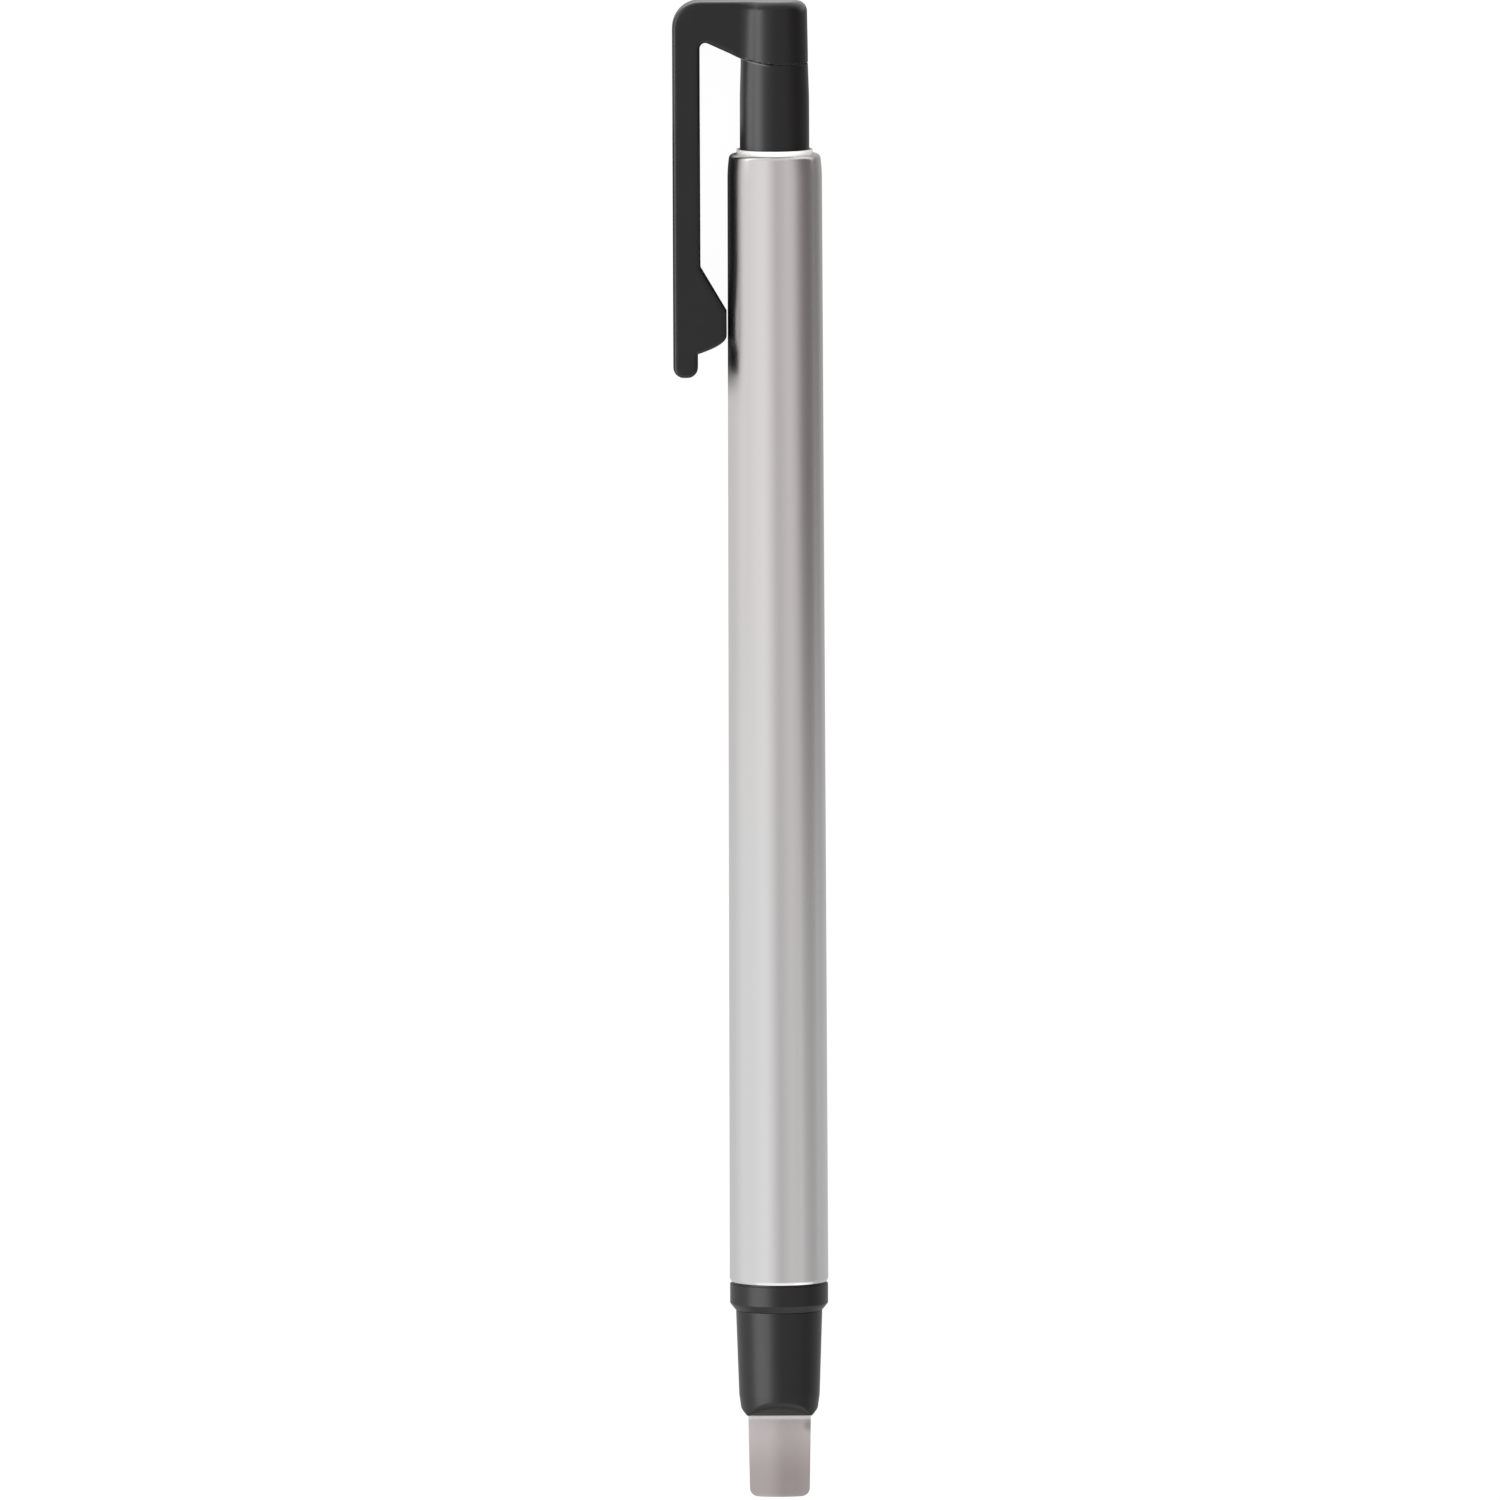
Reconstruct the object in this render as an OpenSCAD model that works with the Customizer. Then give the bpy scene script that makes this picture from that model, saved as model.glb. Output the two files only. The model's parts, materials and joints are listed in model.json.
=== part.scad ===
// Click eraser holder. A slim metal barrel feeds a flat strip of eraser out of a black
// nose each time the clipped button at its other end is pressed.
// Millimetres. The axis lies along X, the eraser toward +X and the button toward -X.
// The holder lies on a table and rests on its barrel and on one edge of its clip.
// Stations are distances along the axis, measured back from the eraser's working end.

/* [Eraser strip] */
// Width of the strip
strip_w = 5; // [3.6:0.1:5.1]
// Thickness of the strip
strip_t = 2.5; // [1.6:0.1:2.6]
// Length of a new strip
strip_len = 78; // [40:1:84]
// How far the strip stands out of the nose
strip_out = 6.6; // [1.5:0.1:12]
// Radius that use has worn on the two end corners
strip_corner_r = 0.65; // [0.2:0.05:1.2]
// How much narrower each side is worn at the end
strip_worn = 0.12; // [0:0.02:0.4]
// Rise of the bowed end edge
strip_bow = 0.1; // [0.02:0.02:0.3]

/* [Nose] */
// Length of the nose that shows
nose_len = 8.53; // [7.8:0.01:14]
// Radius of the nose's round side at its end
nose_tip_r = 3; // [2.95:0.01:3.1]
// Radius of the nose where its tip begins to narrow
nose_front_r = 3.22; // [3.15:0.01:3.4]
// Length of the narrowing tip
nose_lead_len = 1.6; // [1:0.1:3]
// Half width of the end face
nose_end_half_w = 2.62; // [2.6:0.01:2.8]
// Half height of the end face
nose_end_half_h = 1.55; // [1.45:0.01:1.9]
// Length in which the two wide end flats run out to the round side
nose_flat_len = 0.85; // [0.5:0.05:1.2]
// Radius of the nose where it meets the collar
nose_rear_r = 3.45; // [3.4:0.01:3.8]
// Length of the spigot that goes into the collar
nose_spigot_len = 3.9; // [2:0.1:4.6]
// Length of the mouth in front of the rubber pads
mouth_len = 2.4; // [1.5:0.1:3.2]
// Gap between the strip and the mouth on each side
mouth_play = 0.05; // [0.02:0.01:0.1]
// Half height of the two prongs that stop the ring
prong_half_h = 0.9; // [0.5:0.05:1.1]

/* [Rubber pads] */
// Length of each pad
pad_len = 3.9; // [2:0.1:4.2]
// Width of each pad
pad_w = 3.5; // [2:0.1:3.6]
// Thickness of each pad
pad_t = 0.75; // [0.4:0.05:0.8]
// Gap between a pad and its pocket
pad_play = 0.05; // [0.02:0.01:0.1]

/* [Collar] */
// Radius of the collar's band
collar_r = 3.92; // [3.85:0.01:4]
// Length of the band
collar_len = 1.73; // [1:0.01:4]
// Length of the chamfer in front of the band
collar_chamfer_len = 0.56; // [0.2:0.02:1]
// Length of the spigot that goes into the barrel
collar_spigot_len = 12.6; // [12.2:0.1:20]
// Wall of the spigot
collar_wall = 0.25; // [0.15:0.01:0.3]

/* [Barrel] */
// Length of the barrel
barrel_len = 90.32; // [88:0.01:120]
// Outer radius at the front end
barrel_front_r = 3.94; // [3.9:0.01:4.2]
// Outer radius at the rear end
barrel_rear_r = 3.77; // [3.74:0.01:3.9]
// Wall of the barrel
barrel_wall = 0.3; // [0.2:0.01:0.33]
// Width of the polished break on the front rim
barrel_rim = 0.18; // [0.05:0.01:0.19]
// Radius on the rolled rear lip
lip_round = 0.4; // [0.3:0.01:0.5]
// How far the barrel is drawn in just before the lip
lip_draw = 0.1; // [0.02:0.01:0.12]
// Length of the drawn-in end
lip_draw_len = 2; // [1:0.1:4]
// Thickness of the rolled rear lip
lip_t = 0.5; // [0.3:0.05:0.8]

/* [Button] */
// Radius of the push tube
button_r = 2.77; // [2.7:0.01:2.83]
// Length of the push tube that shows
button_out = 7.41; // [5:0.01:12]
// Wall of the push tube
button_wall = 0.68; // [0.4:0.02:0.9]
// Length over which the push tube narrows to the cap
button_draft_len = 3; // [0.5:0.1:4]
// Thickness of the push tube's closed foot
button_foot_t = 2.5; // [1:0.1:4]
// Length of the tongue that plugs into the refill tube
tongue_len = 10; // [4:0.5:12]
// Width of the tongue
tongue_w = 4.8; // [3:0.1:4.8]
// Thickness of the tongue
tongue_t = 2.3; // [1.2:0.1:2.3]

/* [Clip] */
// Length of the cap at the end of the button
cap_len = 4.85; // [4.6:0.05:8]
// Radius of the cap at its lower edge
cap_r = 2.69; // [2.6:0.01:2.7]
// Radius of the cap at its top
cap_top_r = 2.62; // [2.5:0.01:2.69]
// Radius on the cap's top edge
cap_round = 0.6; // [0.2:0.05:0.9]
// Length of the plug that holds the cap in the push tube
cap_plug_len = 5.6; // [3:0.1:6]
// Wall of the plug
cap_plug_wall = 0.7; // [0.4:0.05:0.9]
// Distance of the clip's outer face from the axis
clip_reach = 8.15; // [7.6:0.05:9.5]
// Thickness of the clip arm
clip_t = 2.2; // [1.8:0.05:2.4]
// Thickness of the clip arm at its free end
clip_end_t = 1.8; // [1.2:0.05:2]
// Width of the clip
clip_w = 3.4; // [2.4:0.1:4.2]
// Length of the clip from the cap's top to its free end
clip_len = 30.1; // [24:0.1:40]
// Outer radius of the corner where the clip bends
clip_corner_r = 1.6; // [1.3:0.05:1.7]
// Where the bridge's underside meets the cap, measured from the cap's lower edge
bridge_rise = 0.32; // [0.1:0.02:0.6]
// Where the bridge's underside meets the arm, measured from the cap's top
bridge_depth = 3.04; // [2.9:0.02:3.2]
// How far the bridge reaches from the axis
bridge_reach = 5.6; // [5.4:0.05:5.7]
// Gap in the bend that lets the arm spring out
bend_play = 0.05; // [0.02:0.01:0.1]
// From the free end to the start of the bump's rounded side
bump_tail = 1.9; // [1.4:0.1:3]
// From the free end to the near edge of the bump's resting face
bump_near = 3.4; // [2.6:0.1:5]
// Length of the bump's resting face
bump_rest_len = 1.8; // [0.5:0.1:3]
// Length of the bump's straight ramp
bump_ramp_len = 3.5; // [2:0.1:5]
// Gap between the bump and the barrel
bump_play = 0.08; // [0.05:0.01:0.3]

/* [Mechanism] */
// Travel of the button
press_travel = 3; // [2:0.1:3.4]
// Travel of the chuck ring before the prongs stop it
ring_travel = 1; // [0.5:0.1:1.5]
// From the barrel's front end to the spring seat
seat_at = 10.1; // [9.8:0.1:14]
// Thickness of the spring seat
seat_len = 1.5; // [0.8:0.1:2]
// Length of the chuck ring
ring_len = 1.95; // [1:0.05:2.2]
// Length of a jaw's head
jaw_head_len = 2.5; // [1.5:0.1:2.8]
// Width of a jaw's head
jaw_head_w = 3.2; // [2.8:0.1:3.3]
// Height of a jaw's head above the strip
jaw_head_t = 1.22; // [0.9:0.02:1.24]
// Width of a jaw's leg
jaw_leg_w = 2.4; // [1.6:0.1:2.6]
// Thickness of a jaw's leg
jaw_leg_t = 0.6; // [0.4:0.05:0.65]
// Gap between a closed jaw and the strip
jaw_play = 0.03; // [0.01:0.01:0.05]
// Number of teeth on a jaw
jaw_teeth = 4; // [2:1:6]
// Depth of a jaw's teeth
tooth_depth = 0.12; // [0.05:0.01:0.2]
// Length of the return spring at rest
spring_len = 13; // [11:0.5:20]
// Thickness of the spring's wire
spring_wire = 0.3; // [0.2:0.02:0.34]
// Number of turns in the spring
spring_turns = 11; // [6:1:12]
// Length of the holder that carries the jaws
holder_len = 4; // [3:0.1:8]
// Radius of the holder
holder_r = 3.3; // [3.25:0.01:3.4]
// Outer radius of the refill tube
refill_r = 3.2; // [3.1:0.01:3.3]
// Gap between the strip and the refill tube's channel on each side
channel_play = 0.1; // [0.05:0.01:0.15]
// Length of the bush that guides the push tube
bush_len = 4.2; // [2:0.1:6]
// Gap between the bush and the push tube
bush_play = 0.06; // [0.03:0.01:0.1]
// Wall of the bush's neck, which fills the lip's hole
bush_neck_wall = 0.2; // [0.12:0.01:0.24]
// How far the neck stands out behind the lip
bush_neck_out = 0.5; // [0.1:0.05:1]

/* [Hidden] */

// Small gaps between pieces that are pressed or screwed together, and between stops
fit_play = 0.03;
slide_play = 0.08;
stop_play = 0.05;
// How far a cutting shape runs past the face that it cuts
over = 0.5;
// Facets of a full circle, and steps of a rounded edge in an outline
circle_facets = 96;
round_steps = 6;

// Stations of the faces that show
nose_s = strip_out;
step_s = nose_s + nose_len;
barrel_s = step_s + collar_chamfer_len + collar_len;
lip_s = barrel_s + barrel_len;
cap_s = lip_s + button_out;
top_s = cap_s + cap_len;

// Radii inside the barrel
barrel_taper = (barrel_front_r - barrel_rear_r) / barrel_len;
spigot_end_s = barrel_s + collar_spigot_len;
collar_spigot_r = barrel_bore(spigot_end_s) - fit_play;
collar_bore_r = collar_spigot_r - collar_wall;
nose_spigot_r = collar_bore_r - stop_play;
core_r = norm([strip_w, strip_t]) / 2 + slide_play;
ring_r = collar_bore_r - slide_play;
bush_r = barrel_bore(lip_s) - fit_play;
bush_neck_r = button_r + bush_play + bush_neck_wall;
lip_bore_r = bush_neck_r + fit_play;

// Stations inside the nose
pad_s = nose_s + mouth_len;
cavity_s = pad_s + pad_len + 2 * pad_play + slide_play;
nose_end_s = step_s + nose_spigot_len;

// Stations of the mechanism
seat_s = barrel_s + seat_at;
ring_s = seat_s - stop_play - ring_len;
jaw_rear_s = ring_s - 4 * stop_play;
jaw_front_s = jaw_rear_s - jaw_head_len;
spring_s = seat_s + seat_len;
holder_s = spring_s + spring_len;
jaw_root_s = holder_s + holder_len / 2;
refill_s = holder_s + holder_len;
bush_s = lip_s - lip_t - bush_len;
refill_end_s = bush_s - 2 * stop_play;
foot_s = refill_end_s + stop_play;

// Outlines of the channel, the jaws and the clip
channel_w = strip_w + 2 * channel_play;
channel_t = strip_t + 2 * channel_play;
grip_z = strip_t / 2 + jaw_play;
leg_z = grip_z + jaw_head_t - jaw_leg_t - 2 * slide_play;
bead_r = jaw_leg_t / 2 + slide_play;
jaw_pocket_play = slide_play;
bend_from_axis = clip_reach - clip_corner_r;
bend_s = top_s - clip_corner_r;
clip_end_s = top_s - clip_len;
clip_inner = clip_reach - clip_t;
clip_taper = (clip_t - clip_end_t) / 4;
bump_s = clip_end_s + bump_near;
bump_from_axis = barrel_radius(bump_s) + bump_play;

// The holder rolls until the clip's lower edge meets the table
edge_from_axis = norm([clip_reach, clip_w / 2]);
roll = asin(barrel_front_r / edge_from_axis) - atan(clip_w / 2 / clip_reach);
axis_y = (clip_reach * cos(roll) + clip_w / 2 * sin(roll) - barrel_front_r) / 2;
axis_z = barrel_front_r;

// Distance along X of a station
function at(s) = top_s / 2 - s;

// Radii of the tapered barrel at a station
function barrel_radius(s) = barrel_front_r - barrel_taper * (s - barrel_s);
function barrel_bore(s) = barrel_radius(s) - barrel_wall;

// Points of an arc in an outline of [distance from the axis, station]
function arc(center, r, from, to) = [for (i = [0:round_steps])
  let (a = from + (to - from) * i / round_steps)
  [center[0] + r * cos(a), center[1] + r * sin(a)]];

// Lays the holder on the table
module laid() translate([0, axis_y, axis_z]) rotate([roll, 0, 0]) children();

// A solid of revolution round the axis, from points of [radius, station]
module turned(points) {
  rotate([0, 90, 0]) rotate_extrude($fn = circle_facets)
    polygon([for (p = points) [p[0], at(p[1])]]);
}

// A straight tube or rod between two stations
module tube(r, bore_r, from, to) turned([[bore_r, from], [r, from], [r, to], [bore_r, to]]);

// A block on the axis between two stations
module block(from, to, w, t) translate([at(to), -w / 2, -t / 2]) cube([to - from, w, t]);

// A flat piece in the clip's plane, from points of [distance from the axis, station]
module plate(points, w) {
  translate([0, 0, -w / 2]) linear_extrude(w) polygon([for (p = points) [at(p[1]), -p[0]]]);
}

// A round rod across the clip's plane
module cross_rod(from_axis, s, r, w) {
  translate([at(s), -from_axis, -w / 2]) cylinder(h = w, r = r, $fn = circle_facets);
}

// Tapered metal tube, its rear end rolled in to a rounded lip
module barrel_tube() color([0.80, 0.79, 0.78]) laid() {
  lip_center = [barrel_rear_r - lip_draw - lip_round, lip_s - lip_round];
  draw_s = lip_s - lip_draw_len;
  turned(concat(
    [[barrel_front_r - barrel_rim, barrel_s], [barrel_front_r, barrel_s + barrel_rim],
     [barrel_radius(draw_s), draw_s]],
    arc(lip_center, lip_round, 0, 90),
    [[lip_bore_r, lip_s], [lip_bore_r, lip_s - lip_t], [barrel_bore(lip_s), lip_s - lip_t],
     [barrel_bore(barrel_s), barrel_s]]));
}

// Black band that closes the barrel's front end, on a long thin spigot
module front_collar() color([0.17, 0.16, 0.17]) laid() {
  turned([[collar_bore_r, step_s], [nose_rear_r, step_s], [collar_r, step_s + collar_chamfer_len],
    [collar_r, barrel_s], [collar_spigot_r, barrel_s], [collar_spigot_r, spigot_end_s],
    [collar_bore_r, spigot_end_s]]);
}

// Slab whose two flats spread from the nose's end face until they clear its round side
module end_flats(half, spread_len) {
  spread_s = nose_s + spread_len;
  plate([[-half, nose_s], [half, nose_s], [nose_rear_r, spread_s], [nose_rear_r, nose_end_s],
    [-nose_rear_r, nose_end_s], [-nose_rear_r, spread_s]], 2 * nose_rear_r);
}

// Black nose with a flat mouth for the strip, and two prongs behind it
module nose_cone() color([0.15, 0.14, 0.15]) laid() {
  difference() {
    intersection() {
      turned([[0, nose_s], [nose_tip_r, nose_s], [nose_front_r, nose_s + nose_lead_len],
        [nose_rear_r, step_s], [nose_spigot_r, step_s], [nose_spigot_r, nose_end_s],
        [0, nose_end_s]]);
      end_flats(nose_end_half_w, nose_rear_r - nose_end_half_w);
      rotate([90, 0, 0]) end_flats(nose_end_half_h, nose_flat_len
        * (nose_rear_r - nose_end_half_h) / (nose_tip_r - nose_end_half_h));
    }
    block(nose_s - over, cavity_s + over, strip_w + 2 * mouth_play, strip_t + 2 * mouth_play);
    block(pad_s, pad_s + pad_len + 2 * pad_play, pad_w + 2 * pad_play,
      strip_t + 2 * (mouth_play + pad_t));
    tube(core_r, 0, cavity_s, nose_end_s + over);
  }
  intersection() {
    tube(nose_spigot_r, core_r, nose_end_s - over, ring_s - ring_travel);
    block(nose_end_s - over, ring_s - ring_travel, 2 * collar_r, 2 * prong_half_h);
  }
}

// Two rubber pads that rub on the strip and hold it while the jaws go back
module mouth_retainer() color([0.35, 0.34, 0.33]) laid() {
  for (side = [0, 1]) mirror([0, 0, side])
    translate([0, 0, strip_t / 2 + mouth_play / 2 + pad_t / 2])
      block(pad_s + pad_play, pad_s + pad_play + pad_len, pad_w, pad_t);
}

// Ring pressed into the collar's spigot, which the spring stands on
module spring_seat() color([0.72, 0.72, 0.73]) laid() {
  tube(collar_bore_r - fit_play / 3, core_r, seat_s, spring_s);
}

// Plastic bush that guides the push tube, its neck standing out through the lip
module rear_bush() color([0.9, 0.9, 0.88]) laid() {
  bore_r = button_r + bush_play;
  neck_end_s = lip_s + bush_neck_out;
  turned([[bore_r, bush_s], [bush_r, bush_s], [bush_r, lip_s - lip_t],
    [bush_neck_r, lip_s - lip_t], [bush_neck_r, neck_end_s], [bore_r, neck_end_s]]);
}

// Brass ring that closes the jaws on the strip
module chuck_ring() color([0.79, 0.63, 0.3]) laid() {
  tube(ring_r, core_r, ring_s, ring_s + ring_len);
}

// One jaw: a toothed head on a long springy leg, with a bead at its root
module jaw() {
  pitch = jaw_head_len / (jaw_teeth + 1);
  head_z = grip_z + jaw_head_t;
  head = concat(
    [for (i = [0:jaw_teeth - 1]) each
      [[jaw_front_s + i * pitch, grip_z], [jaw_front_s + (i + 0.9) * pitch, grip_z + tooth_depth]]],
    [[jaw_rear_s, grip_z + tooth_depth], [jaw_rear_s, head_z],
     [jaw_front_s + 2 * jaw_play + jaw_head_t / 2, head_z], [jaw_front_s, head_z - jaw_head_t / 2]]);
  translate([0, jaw_head_w / 2, 0]) rotate([90, 0, 0]) linear_extrude(jaw_head_w)
    polygon([for (p = head) [at(p[0]), p[1]]]);
  translate([0, 0, leg_z + jaw_leg_t / 2]) {
    block(jaw_rear_s - over, jaw_root_s, jaw_leg_w, jaw_leg_t);
    translate([at(jaw_root_s), jaw_leg_w / 2, 0]) rotate([90, 0, 0])
      cylinder(h = jaw_leg_w, r = bead_r, $fn = circle_facets);
  }
}

module chuck_jaw_upper() color([0.93, 0.92, 0.9]) laid() jaw();

module chuck_jaw_lower() color([0.93, 0.92, 0.9]) laid() mirror([0, 0, 1]) jaw();

// Collar that joins the jaws' roots to the refill tube and takes the spring's push
module chuck_holder() color([0.88, 0.88, 0.86]) laid() {
  slot_play = 2 * slide_play;
  difference() {
    tube(holder_r, 0, holder_s, refill_s);
    block(holder_s - over, refill_s + over, channel_w, channel_t);
    block(holder_s - over, jaw_root_s + bead_r + slot_play, jaw_leg_w + slot_play,
      2 * (leg_z + jaw_leg_t / 2 + bead_r + slide_play));
  }
}

// Points round the spring's wire at each step of its helix
function helix_rings(r, wire_r, length, turns, steps, sides) = [for (i = [0:turns * steps])
  let (a = 360 * i / steps, x = (length - 2 * wire_r) * i / (turns * steps) + wire_r)
  [for (k = [0:sides - 1]) let (b = 360 * k / sides, d = r + wire_r * cos(b))
    [x + wire_r * sin(b), d * cos(a), d * sin(a)]]];

// A closed tube swept through rings of points
module swept(rings) {
  n = len(rings);
  m = len(rings[0]);
  polyhedron(points = [for (ring = rings) each ring], faces = concat(
    [[for (k = [0:m - 1]) k]],
    [for (i = [0:n - 2], k = [0:m - 1]) each
      [[i * m + k, (i + 1) * m + k, i * m + (k + 1) % m],
       [i * m + (k + 1) % m, (i + 1) * m + k, (i + 1) * m + (k + 1) % m]]],
    [[for (k = [0:m - 1]) (n - 1) * m + m - 1 - k]]));
}

// Steel coil spring between the seat and the holder
module return_spring() color([0.6, 0.61, 0.63]) laid() {
  turn_steps = 16;
  wire_sides = 6;
  translate([at(holder_s - stop_play / 2), 0, 0])
    swept(helix_rings((core_r + collar_bore_r) / 2, spring_wire / 2, spring_len - stop_play,
      spring_turns, turn_steps, wire_sides));
}

// Long plastic tube whose flat channel holds the strip in reserve
module refill_tube() color([0.92, 0.92, 0.9]) laid() {
  difference() {
    tube(refill_r, 0, refill_s, refill_end_s);
    block(refill_s - over, refill_end_s + over, channel_w, channel_t);
  }
}

// Flat strip of eraser, its working end worn a little narrower with rounded corners
module eraser_strip() color([0.72, 0.69, 0.68]) laid() {
  end_half = strip_w / 2 - strip_worn;
  corner = arc([end_half - strip_corner_r, strip_corner_r + strip_bow / 2],
    strip_corner_r, 0, -90);
  right = concat([[strip_w / 2, strip_len], [strip_w / 2, strip_out]], corner);
  left = [for (i = [len(right) - 1:-1:0]) [-right[i][0], right[i][1]]];
  plate(concat(right, [[0, 0]], left), strip_t);
}

// Black tube that the thumb pushes, with a tongue that plugs into the refill tube
module push_tube() color([0.18, 0.17, 0.18]) laid() {
  bore_r = button_r - button_wall;
  turned([[0, foot_s], [button_r, foot_s], [button_r, cap_s - button_draft_len], [cap_r, cap_s],
    [bore_r, cap_s], [bore_r, foot_s + button_foot_t], [0, foot_s + button_foot_t]]);
  block(foot_s - tongue_len, foot_s + over, tongue_w, tongue_t);
}

// Black cap plugged into the push tube, with the bridge that carries the clip
module clip_cap() color([0.2, 0.19, 0.2]) laid() {
  plug_r = button_r - button_wall - fit_play;
  round_center = [cap_top_r - cap_round, top_s - cap_round];
  difference() {
    union() {
      turned(concat([[plug_r - cap_plug_wall, cap_s - cap_plug_len], [plug_r, cap_s - cap_plug_len],
        [plug_r, cap_s], [cap_r, cap_s]], arc(round_center, cap_round, 0, 90),
        [[0, top_s], [0, cap_s], [plug_r - cap_plug_wall, cap_s]]));
      plate([[0, top_s], [bridge_reach, top_s], [bridge_reach, underside_s(bridge_reach)],
        [cap_r, underside_s(cap_r)], [0, underside_s(cap_r)]], clip_w);
    }
    cross_rod(bend_from_axis, bend_s, clip_corner_r + bend_play, clip_w + 2 * over);
  }
}

// Station of the bridge's sloping underside at a distance from the axis
function underside_s(from_axis) = let (near = cap_s + bridge_rise, far = top_s - bridge_depth)
  near + (far - near) * (from_axis - cap_r) / (clip_inner - cap_r);

// Springy clip arm with a bump that rests on the barrel, and a rounded bend at its root
module clip_arm() color([0.2, 0.19, 0.2]) laid() {
  end_r = clip_end_t / 2;
  end_center = [clip_reach - clip_taper - end_r, clip_end_s + end_r];
  tail_s = clip_end_s + bump_tail;
  bump_height = clip_inner - bump_from_axis;
  plate(concat(
    [[clip_reach, bend_s], [clip_inner, bend_s], [clip_inner, bump_s + bump_rest_len + bump_ramp_len],
     [bump_from_axis, bump_s + bump_rest_len]],
    [for (i = [0:round_steps]) let (t = i / round_steps)
      [bump_from_axis + bump_height * t * t, bump_s - (bump_s - tail_s) * sin(90 * t)]],
    arc(end_center, end_r, 180, 360), [[clip_reach, bump_s + bump_ramp_len]]), clip_w);
  cross_rod(bend_from_axis, bend_s, clip_corner_r, clip_w);
}

barrel_tube();
front_collar();
nose_cone();
mouth_retainer();
spring_seat();
rear_bush();
chuck_ring();
chuck_jaw_upper();
chuck_jaw_lower();
chuck_holder();
return_spring();
refill_tube();
eraser_strip();
push_tube();
clip_cap();
clip_arm();
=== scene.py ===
import json
import math

import bmesh
import bpy
import numpy as np
from mathutils import Matrix, Vector


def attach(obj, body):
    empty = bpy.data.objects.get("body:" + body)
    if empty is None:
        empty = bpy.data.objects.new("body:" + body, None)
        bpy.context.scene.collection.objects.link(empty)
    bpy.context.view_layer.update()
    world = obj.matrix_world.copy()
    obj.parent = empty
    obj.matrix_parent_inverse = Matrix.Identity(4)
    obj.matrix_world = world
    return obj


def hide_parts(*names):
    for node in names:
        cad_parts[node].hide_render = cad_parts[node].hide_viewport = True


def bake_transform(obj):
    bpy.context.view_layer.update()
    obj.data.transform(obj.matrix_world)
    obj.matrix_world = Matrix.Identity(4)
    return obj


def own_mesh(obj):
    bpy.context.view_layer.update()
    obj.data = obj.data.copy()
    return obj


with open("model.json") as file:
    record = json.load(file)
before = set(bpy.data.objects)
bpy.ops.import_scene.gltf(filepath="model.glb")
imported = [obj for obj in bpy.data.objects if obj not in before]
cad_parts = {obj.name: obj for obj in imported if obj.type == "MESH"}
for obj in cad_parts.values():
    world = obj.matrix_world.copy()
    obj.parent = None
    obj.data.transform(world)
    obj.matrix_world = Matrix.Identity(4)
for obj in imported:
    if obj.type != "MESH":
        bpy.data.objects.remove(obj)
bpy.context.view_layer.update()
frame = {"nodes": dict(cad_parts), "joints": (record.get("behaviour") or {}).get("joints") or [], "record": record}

# The holder's own directions. Its axis lies along X, and it has rolled on the table until the
# clip's edge rests there. Sizes are millimetres: a station along the axis, counted from the
# strip's worn end, then across it, away from the clip, then up toward the photographed side.
LENGTH = 120
push_face = next(m for m in frame["record"]["mounts"] if m["name"] == "push_face")
clip_flex = next(j for j in frame["joints"] if j["name"] == "clip_flex")
TIPWARD = np.array([1.0, 0.0, 0.0])
UPWARD = -np.array(clip_flex["axis"]) / np.linalg.norm(clip_flex["axis"])
ACROSS = np.cross(UPWARD, TIPWARD)
BUTTON_END = np.array(push_face["pos_m"])


def placed(points):
    """Frame metres of points given as station, across and up in millimetres."""
    station, across, up = np.moveaxis(np.asarray(points, float), -1, 0)[..., None]
    return BUTTON_END + ((LENGTH - station) * TIPWARD + across * ACROSS + up * UPWARD) / 1000


# The camera looks down on the photographed side from far off, so that the holder's edges run
# nearly parallel. It stands a little toward the button's end, and leans a fifth of a degree.
CAMERA_DISTANCE, SHOWN_WIDTH = 3.6, 0.11981
CAMERA_TILT, CAMERA_LEAN = math.radians(5.6), 0.004
AIM_STATION, LEFT_OF_AXIS = 59.94, -2.155
facing = math.cos(CAMERA_TILT) * UPWARD - math.sin(CAMERA_TILT) * TIPWARD
picture_up = -math.cos(CAMERA_TILT) * TIPWARD - math.sin(CAMERA_TILT) * UPWARD
picture_up = picture_up + CAMERA_LEAN * ACROSS
picture_right = np.cross(picture_up, facing)
aim = placed([AIM_STATION, LEFT_OF_AXIS, 0])
lens = bpy.data.cameras.new("camera")
lens.sensor_width = 36
lens.lens = lens.sensor_width * CAMERA_DISTANCE / SHOWN_WIDTH
lens.clip_start, lens.clip_end = 0.1, 20
camera = bpy.data.objects.new("camera", lens)
turned_to = Matrix([picture_right, picture_up, facing]).transposed().to_4x4()
camera.matrix_world = Matrix.Translation(Vector(aim + facing * CAMERA_DISTANCE)) @ turned_to
bpy.context.scene.collection.objects.link(camera)
bpy.context.scene.camera = camera

# Barrel: a drawn aluminium tube, satin anodised. Its front rim is broken and polished after
# anodising, and its rear end is drawn in a little and rolled over to a rounded lip.
BARREL_FRONT, BARREL_REAR = 17.28, 107.74
BARREL_FRONT_R, BARREL_REAR_R = 3.94, 3.77
BARREL_WALL = 0.3
RIM_RUN, RIM_DROP = 0.26, 0.13
LIP_ROUND, LIP_THICK, LIP_BORE_R = 0.4, 0.5, 3.06
DRAW_IN, DRAW_LENGTH = 0.1, 2.0
AROUND = 192
EASE_STEPS, EASE_MARGIN = 6, 0.6
SHARP_FROM = math.radians(38)


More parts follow.
